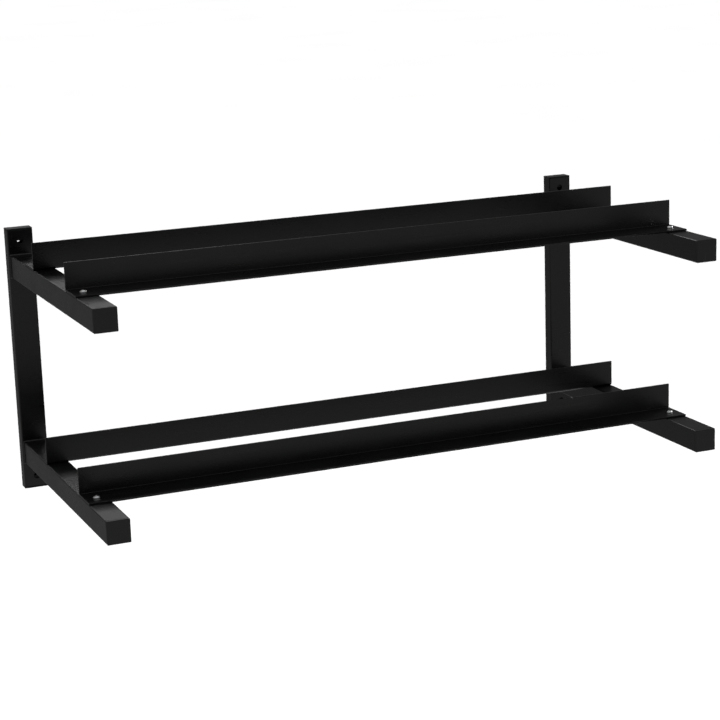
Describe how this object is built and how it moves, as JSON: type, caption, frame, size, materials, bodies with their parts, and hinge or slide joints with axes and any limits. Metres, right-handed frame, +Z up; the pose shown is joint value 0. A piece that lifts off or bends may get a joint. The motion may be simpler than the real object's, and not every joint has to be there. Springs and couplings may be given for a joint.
{
  "type": "dumbbell rack",
  "caption": "Wall-mounted two-tier dumbbell rack: square-tube arms on two uprights carry pairs of folded angle rails that cradle the heads.",
  "frame": {"origin": "centre of the four wall holes, in the plane of the uprights' backs", "axes": "+X along the rails, to the right of someone facing the rack; +Y into the wall; +Z up"},
  "size_m": [0.709, 0.35, 0.3],
  "materials": {
    "black_coat": "satin black powder coat, fine orange peel",
    "black_plastic": "fine-textured black polyethylene",
    "bright_zinc": "bright zinc plate",
    "plated_insert": "dull zinc plate"
  },
  "bodies": {
    "root": {"left_upright": "black_coat", "left_upright_bottom_cap": "black_plastic", "left_upright_top_cap": "black_plastic", "right_upright": "black_coat", "right_upright_bottom_cap": "black_plastic", "right_upright_top_cap": "black_plastic", "lower_left_arm": "black_coat", "lower_left_arm_cap": "black_plastic", "lower_left_arm_weld": "black_coat", "lower_right_arm": "black_coat", "lower_right_arm_cap": "black_plastic", "lower_right_arm_weld": "black_coat", "lower_rear_rail": "black_coat", "lower_rear_rail_screws": "bright_zinc", "lower_rear_rail_inserts": "plated_insert", "lower_front_rail": "black_coat", "lower_front_rail_screws": "bright_zinc", "lower_front_rail_inserts": "plated_insert", "upper_left_arm": "black_coat", "upper_left_arm_cap": "black_plastic", "upper_left_arm_weld": "black_coat", "upper_right_arm": "black_coat", "upper_right_arm_cap": "black_plastic", "upper_right_arm_weld": "black_coat", "upper_rear_rail": "black_coat", "upper_rear_rail_screws": "bright_zinc", "upper_rear_rail_inserts": "plated_insert", "upper_front_rail": "black_coat", "upper_front_rail_screws": "bright_zinc", "upper_front_rail_inserts": "plated_insert"}
  },
  "joints": []
}
